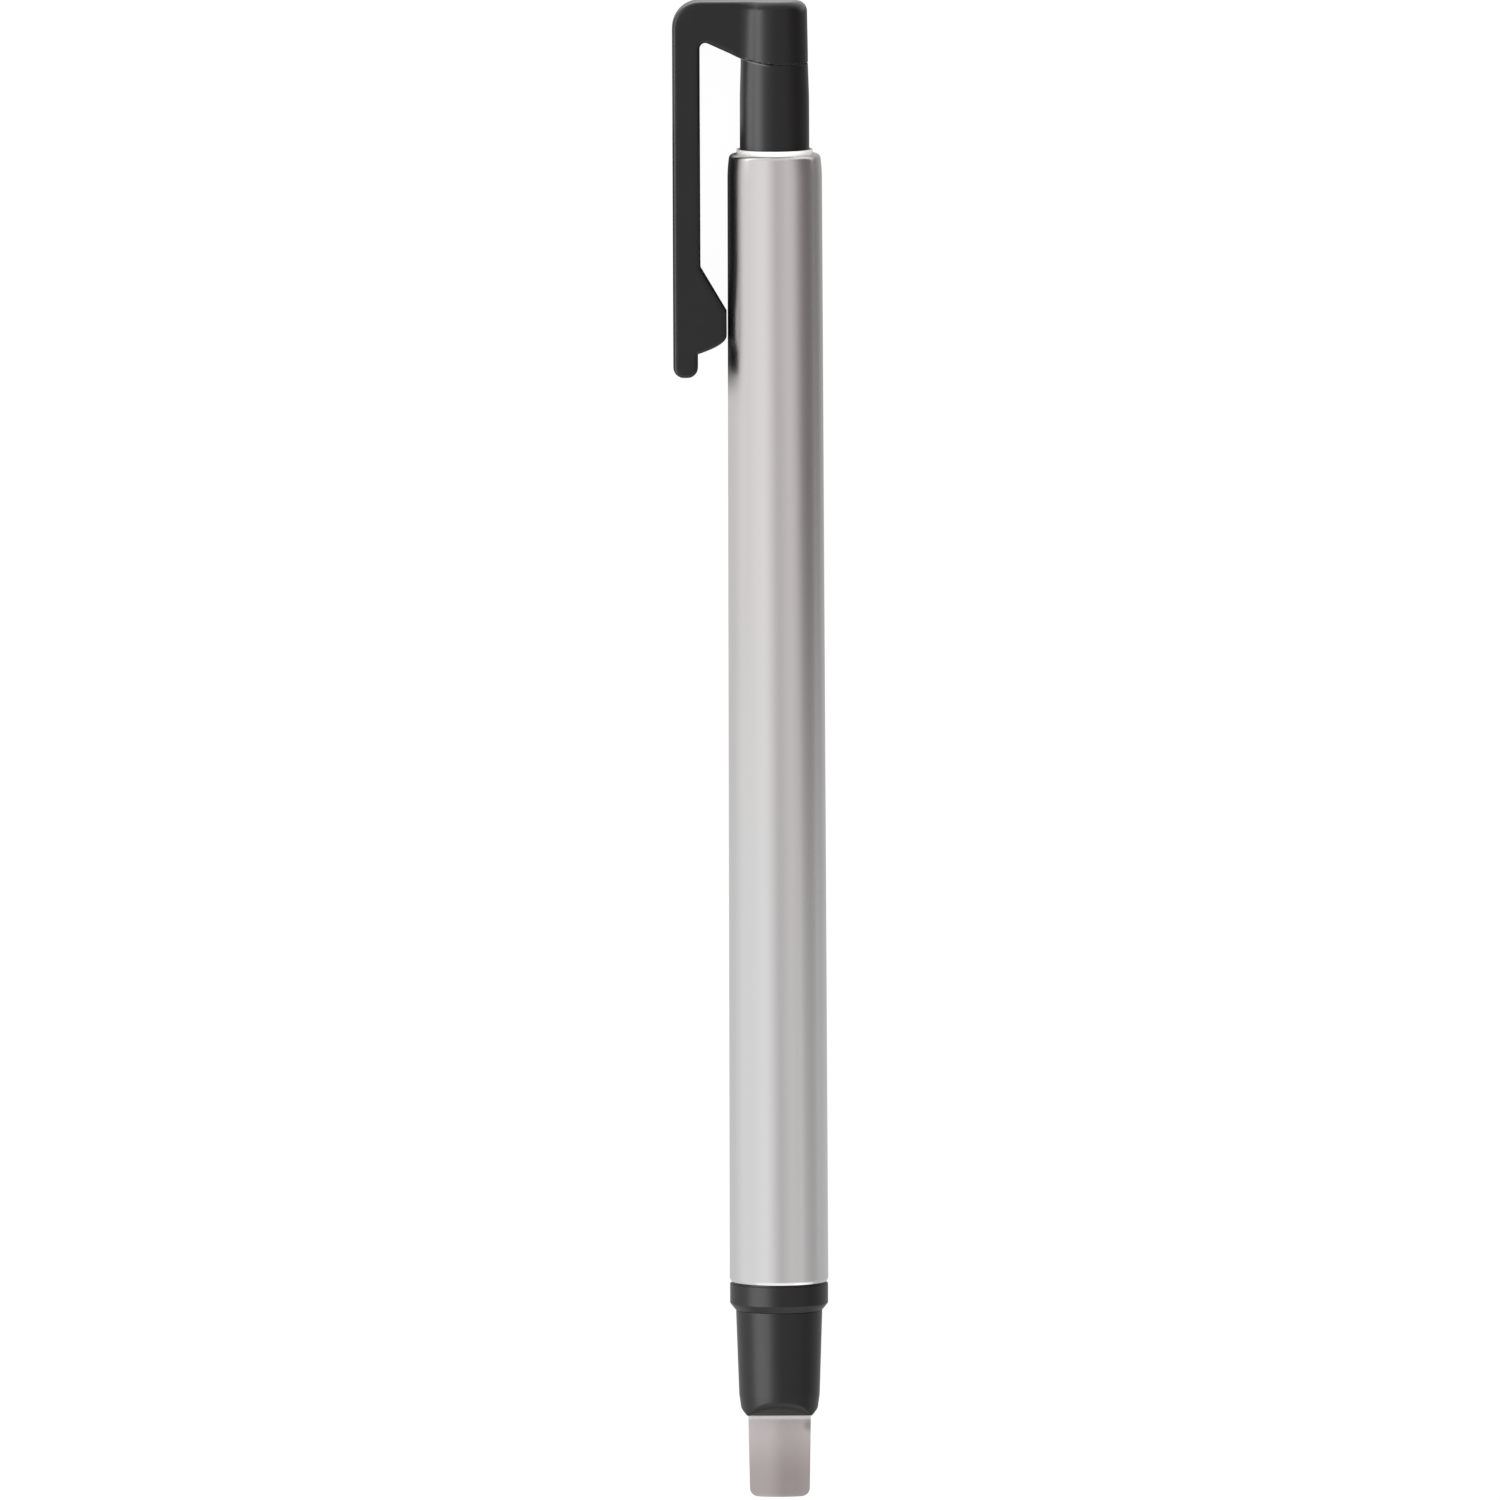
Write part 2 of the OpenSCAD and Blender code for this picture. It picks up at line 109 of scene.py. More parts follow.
def barrel_radius(station):
    share = (station - BARREL_FRONT) / (BARREL_REAR - BARREL_FRONT)
    return BARREL_FRONT_R + (BARREL_REAR_R - BARREL_FRONT_R) * share


def eased(corners, run=4):
    """Closed outline of radius and station, its corners (radius, station, ease) rounded off.

    A point on each side of a rounding keeps its shading off the straight stretches.
    """
    made = []
    spots = [np.array(c[:2], float) for c in corners]
    for i, (here, corner) in enumerate(zip(spots, corners)):
        before, after = spots[i - 1] - here, spots[(i + 1) % len(spots)] - here
        ease = corner[2]
        if ease:
            a, b = (here + d / np.linalg.norm(d) * ease for d in (before, after))
            made.append(a + (a - here) * EASE_MARGIN)
            for t in np.linspace(0, 1, EASE_STEPS):
                made.append((1 - t) ** 2 * a + 2 * t * (1 - t) * here + t * t * b)
            made.append(b + (b - here) * EASE_MARGIN)
        else:
            made.append(here)
    filled = []
    for a, b in zip(made, made[1:] + made[:1]):
        parts = max(1, int(np.linalg.norm(b - a) / run))
        filled += [a + (b - a) * k / parts for k in range(parts)]
    return filled


def ring(station, radius, around=AROUND):
    """Points round the axis at a station and a radius, either of which may vary with the turn."""
    turn = np.linspace(0, 2 * np.pi, around, endpoint=False)
    return np.stack([station + 0 * turn, radius * np.cos(turn), radius * np.sin(turn)], 1)


def skin(rings, looped):
    """Points and faces of a skin over rings, joined end to end or with both ends closed."""
    count, around = len(rings), len(rings[0])
    index = np.arange(count * around).reshape(count, around)
    rows = index if not looped else np.vstack([index, index[:1]])
    ahead = np.roll(rows, -1, axis=1)
    quads = np.stack([rows[:-1], ahead[:-1], ahead[1:], rows[1:]], -1).reshape(-1, 4).tolist()
    ends = [] if looped else [index[0].tolist(), index[-1][::-1].tolist()]
    return np.vstack(rings), quads + ends


def made_piece(name, shape, finish, nodes, body=None):
    """A mesh object of points and faces that stands for CAD nodes and rides on their body."""
    points, faces = shape
    mesh = bpy.data.meshes.new(name)
    mesh.from_pydata(placed(points).tolist(), [], faces)
    form = bmesh.new()
    form.from_mesh(mesh)
    bmesh.ops.recalc_face_normals(form, faces=form.faces)
    form.to_mesh(mesh)
    form.free()
    mesh.polygons.foreach_set("use_smooth", [True] * len(mesh.polygons))
    mesh.set_sharp_from_angle(angle=SHARP_FROM)
    mesh.materials.append(finish)
    made = bpy.data.objects.new(name, mesh)
    bpy.context.scene.collection.objects.link(made)
    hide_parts(*nodes)
    if body:
        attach(made, body)
    return made


class Wire:
    """A node's socket. Python's operators on it add Math nodes."""

    def __init__(self, nodes, socket):
        self.nodes, self.socket = nodes, socket

    def math(self, operation, *values):
        return self.nodes.add("Math", {"operation": operation}, dict(enumerate(values)))

    def __add__(self, other):
        return self.math("ADD", self, other)

    def __sub__(self, other):
        return self.math("SUBTRACT", self, other)

    def __rsub__(self, other):
        return self.math("SUBTRACT", other, self)

    def __mul__(self, other):
        return self.math("MULTIPLY", self, other)

    def __truediv__(self, other):
        return self.math("DIVIDE", self, other)

    def __abs__(self):
        return self.math("ABSOLUTE", self)

    __radd__, __rmul__ = __add__, __mul__

    def stepped(self, low, high):
        """Smooth step from 0 at low to 1 at high."""
        return self.nodes.add("MapRange", {"interpolation_type": "SMOOTHSTEP"},
                              {"Value": self, "From Min": low, "From Max": high})


class Nodes:
    """The nodes of one material or of the world."""

    def __init__(self, owner):
        owner.use_nodes = True
        self.tree = owner.node_tree
        self.tree.nodes.clear()

    def add(self, kind, settings=(), sockets=(), out=0):
        """One node: its settings first, then the values or links of its sockets."""
        node = self.tree.nodes.new("ShaderNode" + kind)
        for name, value in dict(settings).items():
            if name == "stops":
                marks = node.color_ramp.elements
                while len(marks) < len(value):
                    marks.new(0.5)
                for mark, (position, colour) in zip(marks, value):
                    mark.position, mark.color = position, (*colour, 1)
            else:
                setattr(node, name, value)
        for name, value in dict(sockets).items():
            if isinstance(value, Wire):
                self.tree.links.new(value.socket, node.inputs[name])
            else:
                node.inputs[name].default_value = value
        return Wire(self, node.outputs[out]) if node.outputs else None

    def along(self, direction, vector):
        """A vector's part along a direction."""
        return self.add("VectorMath", {"operation": "DOT_PRODUCT"},
                        {0: vector, 1: tuple(direction)}, out="Value")

    def blended(self, share, low, high):
        """A colour between two, at a share that may vary."""
        low, high = (c if isinstance(c, Wire) else (*c, 1) for c in (low, high))
        return self.add("Mix", {"data_type": "RGBA"}, {"Factor": share, 6: low, 7: high}, out=2)


class Finish(Nodes):
    """A procedural material, in which at is the place on the piece in metres."""

    def __init__(self, name):
        self.material = bpy.data.materials.new(name)
        super().__init__(self.material)
        self.at = self.add("TexCoord", out="Object")

    def grain(self, size, stretch=1, detail=2, rough=0.5):
        """Noise from 0 to 1 whose specks measure size millimetres, drawn out along the axis."""
        spread = self.add("Mapping", {"vector_type": "POINT"},
                          {"Vector": self.at, "Scale": (1 / stretch, 1, 1)})
        return self.add("TexNoise", {"noise_dimensions": "3D"},
                        {"Vector": spread, "Scale": 1000 / size, "Detail": detail,
                         "Roughness": rough}, out="Fac")

    def station(self):
        """The station of the place on the piece, in millimetres."""
        x_end = float(BUTTON_END[0]) * 1000
        return x_end + LENGTH - self.along(TIPWARD, self.at) * 1000

    def off_axis(self, direction):
        """How far the place lies from the holder's axis in a direction, in millimetres."""
        axis_at = float(BUTTON_END @ direction) * 1000
        return self.along(direction, self.at) * 1000 - axis_at

    def bump(self, height, depth):
        """Normals for a height from 0 to 1 that stands for depth millimetres."""
        return self.add("Bump", {}, {"Height": height, "Strength": 1.0,
                                     "Distance": depth / 1000}, out="Normal")

    def surface(self, **sockets):
        """Closes the material with a surface shader. Underscores in socket names are spaces."""
        named = {name.replace("_", " "): value for name, value in sockets.items()}
        shader = self.add("BsdfPrincipled", {}, named)
        self.add("OutputMaterial", {}, {"Surface": shader})
        return self.material


# The anodising is neutral at the front and grows warmer toward the button.
WARMER_FROM, WARMEST_FROM = 35, 90
RIM_BLUR, RIM_SMOOTHNESS = 0.02, 0.55
SPECK_DEPTH = 0.0002
rim_end = BARREL_FRONT + RIM_RUN

satin = Finish("satin_aluminium")
streaks = satin.grain(0.5, stretch=60, detail=3)
specks = satin.grain(0.6, stretch=8, detail=2)
clouds = satin.grain(9, stretch=3, detail=3)
mottle = streaks * 0.6 + clouds * 0.4
neutral = satin.blended(mottle, (0.765, 0.763, 0.764), (0.795, 0.793, 0.794))
warm = satin.blended(mottle, (0.775, 0.744, 0.738), (0.805, 0.774, 0.768))
polish = satin.station().stepped(rim_end + RIM_BLUR, rim_end - RIM_BLUR)
satin_metal = satin.surface(
    Metallic=1.0,
    Base_Color=satin.blended(satin.station().stepped(WARMER_FROM, WARMEST_FROM), neutral, warm),
    Roughness=(0.25 + streaks * 0.02 + clouds * 0.02) * (1 - polish * RIM_SMOOTHNESS),
    Normal=satin.bump(specks, SPECK_DEPTH))

draw_start = BARREL_REAR - DRAW_LENGTH
lip_start = BARREL_REAR - LIP_ROUND
lip_center_r = barrel_radius(lip_start) - DRAW_IN - LIP_ROUND
drawn = [(barrel_radius(s) - DRAW_IN * t * t, s, 0) for t in np.linspace(0, 1, 9)
         for s in [draw_start + (lip_start - draw_start) * t]]
rolled = [(lip_center_r + LIP_ROUND * math.cos(a), lip_start + LIP_ROUND * math.sin(a), 0)
          for a in np.radians([12, 24, 36, 48, 60, 72, 84, 90])]
barrel_outline = eased([
    (BARREL_FRONT_R - BARREL_WALL, BARREL_FRONT, 0.03),
    (BARREL_FRONT_R - RIM_DROP, BARREL_FRONT, 0.03),
    (BARREL_FRONT_R, rim_end, 0.1),
    *drawn, *rolled,
    (LIP_BORE_R, BARREL_REAR, 0.03),
    (LIP_BORE_R, BARREL_REAR - LIP_THICK, 0),
    (BARREL_REAR_R - BARREL_WALL, BARREL_REAR - LIP_THICK, 0),
])
made_piece("barrel", skin([ring(s, r) for r, s in barrel_outline], True),
           satin_metal, ["barrel_tube"], "barrel")

# Collar: a black moulded band that closes the barrel's front, with a chamfer before it and a
# groove under the barrel's rim. Its long thin spigot is pushed into the barrel, and carries the
# nose and the spring's seat.
STEP, BAND = 15.0, 15.55
NOSE_REAR_R, COLLAR_R, GROOVE = 3.45, 3.92, 0.15
SPIGOT_R, SPIGOT_BORE_R, SPIGOT_END = 3.586, 3.336, 30.02

# The button is of the same black plastic. On the clip's side a pale line is painted along its sloping seam, as a
# painted highlight of the edge.
BUTTON_R, SEAM_START, SEAM_SLOPE = 2.69, 115.47, 0.22
SEAM_HIGHLIGHT_HALF_W, SEAM_HIGHLIGHT_SHARE = 0.1, 0.8

moulded = Finish("black_moulding")
skin_grain = moulded.grain(0.16, detail=2)
handling = moulded.grain(2.6, stretch=2, detail=4, rough=0.6)
clipward = moulded.off_axis(-ACROSS)
seam_offset = moulded.station() - SEAM_START - (clipward - BUTTON_R) * SEAM_SLOPE
# Painted highlight: a pale line along the button's seam, on the clip's side only.
painted_seam_highlight = (abs(seam_offset + SEAM_HIGHLIGHT_HALF_W / 2).stepped(SEAM_HIGHLIGHT_HALF_W, SEAM_HIGHLIGHT_HALF_W * 0.3)
           * clipward.stepped(0.3, 0.9) * clipward.stepped(BUTTON_R + 0.2, BUTTON_R + 0.1))
black = moulded.blended(handling, (0.0070, 0.0063, 0.0075), (0.011, 0.010, 0.0115))
black_plastic = moulded.surface(
    Base_Color=moulded.blended(painted_seam_highlight * SEAM_HIGHLIGHT_SHARE, black, (0.1, 0.1, 0.1)),
    Roughness=0.32 + handling * 0.08,
    Normal=moulded.bump(skin_grain, 0.0012),
    IOR=1.45)

collar_outline = eased([
    (SPIGOT_BORE_R, STEP, 0.03), (NOSE_REAR_R + 0.02, STEP, 0.05), (COLLAR_R, BAND, 0.1),
    (COLLAR_R, BARREL_FRONT - GROOVE, 0.04), (COLLAR_R - GROOVE, BARREL_FRONT - GROOVE, 0.02),
    (COLLAR_R - GROOVE, BARREL_FRONT, 0), (SPIGOT_R, BARREL_FRONT, 0), (SPIGOT_R, SPIGOT_END, 0.1),
    (SPIGOT_BORE_R, SPIGOT_END, 0.05)])
collar = made_piece("collar", skin([ring(s, r) for r, s in collar_outline], True),
                    black_plastic, ["front_collar"], "barrel")

# Nose: a black moulding, held by its spigot in the collar. It narrows over the last 1.6 mm, and
# four flats at its end leave a thin oblong face round the mouth. The two pads sit in its pocket.
NOSE_END, NOSE_LEAD, SPIGOT_REAR = 6.6, 8.2, 19.03
NOSE_FRONT_R, NOSE_TIP_R, NOSE_SPIGOT_R = 3.22, 3.0, 3.286
FACE_HALF_W, FACE_HALF_H = 2.62, 1.55
FLAT_RUN = 0.85
MOUTH_HALF_W, MOUTH_HALF_H = 2.55, 1.3
PAD_FRONT, PAD_REAR, PAD_HALF_W, PAD_HALF_H = 9.0, 13.0, 1.8, 2.05
CAVITY, CAVITY_R = 13.08, 2.875
FACE_ROUND, CORNER_ROUND = 0.02, 0.05
NOSE_AROUND, HALVINGS = 384, 40


def soft_max(a, b, ease):
    """The larger of two distances, with the edge where they meet rounded."""
    corner = np.hypot(np.maximum(ease + a, 0), np.maximum(ease + b, 0))
    return np.minimum(-ease, np.maximum(a, b)) + corner


def outlined(distance, station, around=NOSE_AROUND):
    """Ring at even turns, on the crossways outline where a distance is zero."""
    turn = np.linspace(0, 2 * np.pi, around, endpoint=False)
    near, far = np.zeros(around), np.full(around, 10.0)
    for _ in range(HALVINGS):
        middle = (near + far) / 2
        inside = distance(middle * np.cos(turn), middle * np.sin(turn)) < 0
        near, far = np.where(inside, middle, near), np.where(inside, far, middle)
    return ring(station, near, around)


def oblong(half_w, half_h, ease):
    """Distance to a crossways oblong with eased corners."""
    return lambda y, z: soft_max(abs(y) - half_w, abs(z) - half_h, ease)


def smooth(value, low, high):
    """Smooth step from 0 at low to 1 at high, of numbers."""
    share = np.clip((value - low) / (high - low), 0, 1)
    return share * share * (3 - 2 * share)


def nose_side(station, inset=0.0):
    """Crossways outline of the nose: round, with the end's four flats."""
    back = station - NOSE_END
    lead = np.clip(back / (NOSE_LEAD - NOSE_END), 0, 1)
    radius = NOSE_TIP_R + (NOSE_FRONT_R - NOSE_TIP_R) * lead
    radius += (NOSE_REAR_R - NOSE_FRONT_R) * max(0, station - NOSE_LEAD) / (STEP - NOSE_LEAD)
    half_w = FACE_HALF_W + back
    half_h = FACE_HALF_H + back * (NOSE_TIP_R - FACE_HALF_H) / FLAT_RUN
    flats = oblong(half_w - inset, half_h - inset, 0.08)
    return lambda y, z: soft_max(np.hypot(y, z) - radius + inset, flats(y, z),
                                 0.12 + 0.4 * smooth(abs(z) - abs(y), -0.6, 0.8))


mouth = oblong(MOUTH_HALF_W, MOUTH_HALF_H, CORNER_ROUND)
pad_room = oblong(PAD_HALF_W, PAD_HALF_H, CORNER_ROUND)
nose_rings = [ring(s, r, NOSE_AROUND) for r, s in [
    (NOSE_SPIGOT_R - CORNER_ROUND, SPIGOT_REAR), (NOSE_SPIGOT_R, SPIGOT_REAR - CORNER_ROUND),
    (NOSE_SPIGOT_R, STEP), (NOSE_REAR_R - CORNER_ROUND, STEP),
    (NOSE_REAR_R - CORNER_ROUND * 0.3, STEP - CORNER_ROUND * 0.3)]]
nose_stations = np.concatenate([
    [STEP - CORNER_ROUND, STEP - CORNER_ROUND * 2],
    np.linspace(STEP - 0.6, NOSE_LEAD + 0.4, 10),
    np.linspace(NOSE_LEAD + 0.2, NOSE_LEAD - 0.45, 8),
    np.linspace(NOSE_LEAD - 0.5, NOSE_END + 0.06, 30)])
nose_rings += [outlined(nose_side(s), s) for s in nose_stations]
nose_rings += [outlined(nose_side(NOSE_END + FACE_ROUND, FACE_ROUND / 4), NOSE_END + FACE_ROUND),
               outlined(nose_side(NOSE_END, FACE_ROUND), NOSE_END)]
nose_rings += [outlined(mouth, s) for s in (NOSE_END, NOSE_END + FACE_ROUND, 7.5, PAD_FRONT)]
nose_rings += [outlined(lambda y, z: np.minimum(mouth(y, z), pad_room(y, z)), s)
               for s in (PAD_FRONT, PAD_REAR)]
nose_rings += [outlined(mouth, s) for s in (PAD_REAR, CAVITY)]
nose_rings += [ring(s, CAVITY_R, NOSE_AROUND) for s in (CAVITY, SPIGOT_REAR)]
nose = made_piece("nose", skin(nose_rings, True),
                  black_plastic, ["nose_cone"], "barrel")

# Strip: a flat bar of grey vinyl eraser, cut square and 78 mm long when new. Rubbing has bowed
# its end and rounded the end's corners, and its colour is darker toward that end. Painted shade
# darkens it across, a painted shadow lies by the mouth's far corner, and a painted highlight
# lies in a pale band where it leaves the mouth.
STRIP_HALF_W, STRIP_HALF_H, STRIP_LENGTH = 2.5, 1.25, 78
WORN, WORN_LENGTH = 0.12, 6.6
END_CORNER, END_EDGE, END_BOW = 0.65, 0.3, 0.1
BOW_LENGTH = 3
MOUTH_SHADOW_AT, MOUTH_SHADOW_REACH = (5.8, 2.4, 1.2), 0.75
RIM_HIGHLIGHT_FROM, RIM_HIGHLIGHT_TO = (6.15, 6.45), (6.85, 6.6)

vinyl = Finish("grey_vinyl")
crumbs = vinyl.grain(0.35, detail=4, rough=0.6)
soiling = vinyl.grain(2.2, detail=4, rough=0.62)
pores = vinyl.grain(0.12, detail=2)
# Painted shadow: a dark spot on the strip's top, by the far corner of the mouth.
from_mouth_shadow = vinyl.add("VectorMath", {"operation": "DISTANCE"},
                        {0: vinyl.at, 1: tuple(placed(MOUTH_SHADOW_AT))}, out="Value") * 1000
painted_mouth_shadow = from_mouth_shadow.stepped(MOUTH_SHADOW_REACH, 0.1)
worn = vinyl.station().stepped(5.8, 1.5)
across = vinyl.off_axis(ACROSS)
# Painted shade: darker from the middle of the strip's width to its far side, lightest on the clip's side.
painted_shade_across = across.stepped(-1.1, 0.5) - across.stepped(1.2, 2.4) * 0.35
# Painted highlight: a near-white band where the strip leaves the mouth.
painted_rim_highlight = vinyl.station().stepped(*RIM_HIGHLIGHT_FROM) * vinyl.station().stepped(*RIM_HIGHLIGHT_TO)
clean = vinyl.blended(crumbs * 0.5 + soiling * 0.5, (0.66, 0.615, 0.61), (0.76, 0.71, 0.70))
# The colour darkens toward the worn end and takes the painted shade across the width.
darkened_and_shaded = vinyl.blended(worn * (0.45 + 0.24 * soiling) + painted_shade_across * 0.42, clean, (0.40, 0.345, 0.34))
with_rim_highlight = vinyl.blended(painted_rim_highlight, darkened_and_shaded, (1.0, 0.97, 0.96))
eraser = vinyl.surface(
    Base_Color=vinyl.blended(painted_mouth_shadow * 0.5, with_rim_highlight, (0.13, 0.115, 0.11)),
    Roughness=0.62 + soiling * 0.15,
    Normal=vinyl.bump(crumbs * 0.6 + pores * 0.4, 0.012))


def strip_ring(station, inset=0.0, reach=1.0):
    """Crossways ring of the strip, drawn in where use has rounded its end."""
    taper = WORN * (1 - min(1, station / WORN_LENGTH))
    corner, edge = (max(0, 1 - station / r) for r in (END_CORNER, END_EDGE))
    half_w = STRIP_HALF_W - taper - END_CORNER * (1 - math.sqrt(1 - corner ** 2)) - inset
    half_h = STRIP_HALF_H - END_EDGE * (1 - math.sqrt(1 - edge ** 2)) - inset
    made = outlined(oblong(half_w, half_h, 0.06 + 0.1 * edge), station, AROUND)
    made[:, 1:] *= reach
    bowed = END_BOW * (made[:, 1] / STRIP_HALF_W) ** 2
    made[:, 0] += bowed * max(0, 1 - station / BOW_LENGTH)
    return made


end_stations = END_CORNER * (1 - np.sin(np.linspace(np.pi / 2, 0, 14)))
strip_rings = [strip_ring(0.0, reach=r) for r in (0.1, 0.4, 0.7, 0.9, 0.97)]
strip_rings += [strip_ring(s) for s in [
    *end_stations, *np.linspace(END_CORNER + 0.1, WORN_LENGTH, 24),
    *np.linspace(WORN_LENGTH + 1, STRIP_LENGTH - 0.4, 36), STRIP_LENGTH - 0.1]]
strip_rings += [strip_ring(STRIP_LENGTH - 0.02, 0.03), strip_ring(STRIP_LENGTH, 0.08)]
made_piece("strip", skin(strip_rings, False), eraser, ["eraser_strip"], "strip")

# Bush: a white plastic sleeve behind the barrel's lip, which guides the button. Its thin neck
# fills the lip's hole and stands out a little round the push tube.
BUSH_BORE_R, BUSH_R, NECK_R, NECK_OUT, BUSH_FRONT = 2.83, 3.44, 3.03, 0.38, 103.04

acetal = Finish("white_acetal")
sheen = acetal.grain(1.5, detail=3)
white_plastic = acetal.surface(
    Base_Color=acetal.blended(sheen, (0.86, 0.86, 0.85), (0.91, 0.91, 0.90)),
    Roughness=0.42 + sheen * 0.1,
    Normal=acetal.bump(acetal.grain(0.2), 0.001))

bush_outline = eased([
    (BUSH_BORE_R, BUSH_FRONT, 0.1), (BUSH_R, BUSH_FRONT, 0.1),
    (BUSH_R, BARREL_REAR - LIP_THICK, 0.02), (NECK_R, BARREL_REAR - LIP_THICK, 0),
    (NECK_R, BARREL_REAR + NECK_OUT, 0.05), (BUSH_BORE_R, BARREL_REAR + NECK_OUT, 0.04)])
bush = made_piece("bush", skin([ring(s, r) for r, s in bush_outline], True),
                  white_plastic, ["rear_bush"], "barrel")

# Push tube: the black tube under the cap that the thumb pushes. Its top is cut to the clip
# moulding's sloping edge, and its tongue plugs into the refill tube and holds by friction.
TUBE_R, TUBE_TOP_R, TUBE_BORE_R, FOOT, FOOT_TOP = 2.77, BUTTON_R, 2.09, 103.0, 105.5
TONGUE_END, TONGUE_HALF_W, TONGUE_HALF_H = 93.0, 2.4, 1.15
CAP_EDGE, UNDERSIDE_SLOPE = 114.97, 0.457
SEAM_GAP, SEAM_SHARPNESS = 0.01, 8


def seam(clipward):
    """Station of the clip moulding's lower edge at a distance from the axis toward the clip."""
    out = clipward - TUBE_TOP_R
    sloping = SEAM_START + out * np.where(out > 0, UNDERSIDE_SLOPE, SEAM_SLOPE)
    return np.logaddexp(CAP_EDGE * SEAM_SHARPNESS, sloping * SEAM_SHARPNESS) / SEAM_SHARPNESS


def cut_ring(radius, drop):
    """Ring of the tube's top edge, drop millimetres below the seam."""
    turn = np.linspace(0, 2 * np.pi, AROUND, endpoint=False)
    return ring(seam(-radius * np.cos(turn)) - SEAM_GAP - drop, radius)


tongue = [outlined(oblong(TONGUE_HALF_W - d, TONGUE_HALF_H - d, 0.15), s, AROUND)
          for d, s in [(0.3, TONGUE_END), (0.1, TONGUE_END + 0.08), (0, TONGUE_END + 0.3),
                       (0, 96.4), (0, 99.7), (0, FOOT)]]
tube_wall = [ring(s, r) for r, s in [
    (TUBE_R - 0.12, FOOT), (TUBE_R - 0.03, FOOT + 0.03), (TUBE_R, FOOT + 0.12),
    (TUBE_R, 106), (TUBE_R, 109), (TUBE_R, 111.9), (TUBE_R - 0.01, 112.6), (TUBE_TOP_R, 114.8)]]
tube_top = [cut_ring(r, d) for r, d in [
    (TUBE_TOP_R, 0.12), (TUBE_TOP_R, 0.03), (TUBE_TOP_R - 0.01, 0.01), (TUBE_TOP_R - 0.03, 0),
    (TUBE_BORE_R + 0.04, 0), (TUBE_BORE_R, 0.04)]]
tube_bore = [ring(s, TUBE_BORE_R) for s in (112, FOOT_TOP)]
button_tube = made_piece("button_tube", skin(tongue + tube_wall + tube_top + tube_bore, False),
                         black_plastic, ["push_tube"], "button")

# Cap and clip: one black moulding. The cap plugs into the push tube, and a bridge leaves its side
# through two soft fillets. The springy arm bends down from it, with a bump toward the barrel.
CAP_R, CAP_TOP_R = BUTTON_R, 2.63
CLIP_HALF_W, CLIP_OUTER, CLIP_INNER, TAIL_INNER = 1.7, 8.15, 5.95, 6.18
CORNER_R, INNER_CORNER_R, WEB_R = 2.2, 0.45, 2.2
ARM_END, ARM_TIP_R = 89.9, 0.85
BUMP_TAIL, BUMP_NEAR, BUMP_FAR, RAMP_END = 91.8, 93.3, 95.1, 98.6
BUMP_PLAY = 0.08
BUMP_REACH = barrel_radius(BUMP_NEAR) + BUMP_PLAY
PLUG_END, PLUG_R, PLUG_BORE_R = 109.56, 2.06, 1.36
CELL, PROBE = 0.14, 0.004


def swing(center, radius, start, stop, count=12):
    """Points of an arc in an outline of distance from the axis and station."""
    return [(center[0] + radius * math.cos(a), center[1] + radius * math.sin(a))
            for a in np.radians(np.linspace(start, stop, count))]


underside_turn = math.atan(UNDERSIDE_SLOPE)
inner_center_a = CLIP_INNER - INNER_CORNER_R
inner_center_s = (SEAM_START + (inner_center_a - TUBE_TOP_R) * UNDERSIDE_SLOPE
                  - INNER_CORNER_R / math.cos(underside_turn))
bump_height = TAIL_INNER - BUMP_REACH
clip_outline = np.array(
    [(-4, LENGTH)] + swing((CLIP_OUTER - CORNER_R, LENGTH - CORNER_R), CORNER_R, 90, 0)
    + swing((CLIP_OUTER - ARM_TIP_R, ARM_END + ARM_TIP_R), ARM_TIP_R, 0, -90)
    + swing((TAIL_INNER + ARM_TIP_R, ARM_END + ARM_TIP_R), ARM_TIP_R, -90, -180)
    + [(BUMP_REACH + bump_height * t * t, BUMP_NEAR - (BUMP_NEAR - BUMP_TAIL) * t)
       for t in np.linspace(1, 0, 13)]
    + [(BUMP_REACH, BUMP_FAR), (CLIP_INNER, RAMP_END)]
    + swing((inner_center_a, inner_center_s), INNER_CORNER_R, 0,
            90 + math.degrees(underside_turn))
    + [(a, float(seam(a))) for a in np.linspace(4.4, -4, 70)])


def outline_distance(a, s, corners):
    """Signed distance to a closed outline, negative inside it."""
    shape = np.broadcast(a, s).shape
    a, s = (np.broadcast_to(v, shape).astype(float) for v in (a, s))
    nearest, inside = np.full(shape, np.inf), np.zeros(shape, bool)
    for (a0, s0), (a1, s1) in zip(corners, np.roll(corners, -1, axis=0)):
        da, ds = a1 - a0, s1 - s0
        share = np.clip(((a - a0) * da + (s - s0) * ds) / (da * da + ds * ds), 0, 1)
        nearest = np.minimum(nearest, np.hypot(a - a0 - share * da, s - s0 - share * ds))
        crossed = (s0 > s) != (s1 > s)
        inside ^= crossed & (a < a0 + da * (s - s0) / (ds if ds else 1))
    return np.where(inside, -nearest, nearest)


